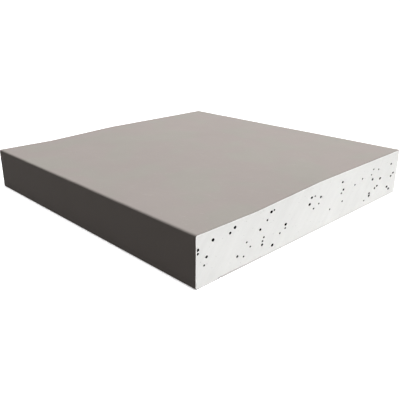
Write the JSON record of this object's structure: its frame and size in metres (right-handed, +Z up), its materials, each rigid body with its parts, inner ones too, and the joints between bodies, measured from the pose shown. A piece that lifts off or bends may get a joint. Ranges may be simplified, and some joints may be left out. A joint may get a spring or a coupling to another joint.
{
  "type": "gypsum plasterboard",
  "caption": "Square sample of tapered-edge gypsum plasterboard: foamed gypsum core between a face paper wrapped round one long edge and a back paper, sawn on three sides.",
  "frame": {"origin": "centre of the underside, on the plane that the back paper rests on", "axes": "+X across the board from the paper-wrapped edge to the sawn side, +Y along the board from one sawn end to the other, +Z up from the back paper to the face paper"},
  "size_m": [0.1016, 0.104, 0.0159],
  "materials": {
    "gypsum": "matte",
    "face_paper": "matte",
    "back_paper": "matte"
  },
  "bodies": {
    "root": {"gypsum_core": "gypsum", "face_paper": "face_paper", "back_paper": "back_paper"}
  },
  "joints": []
}
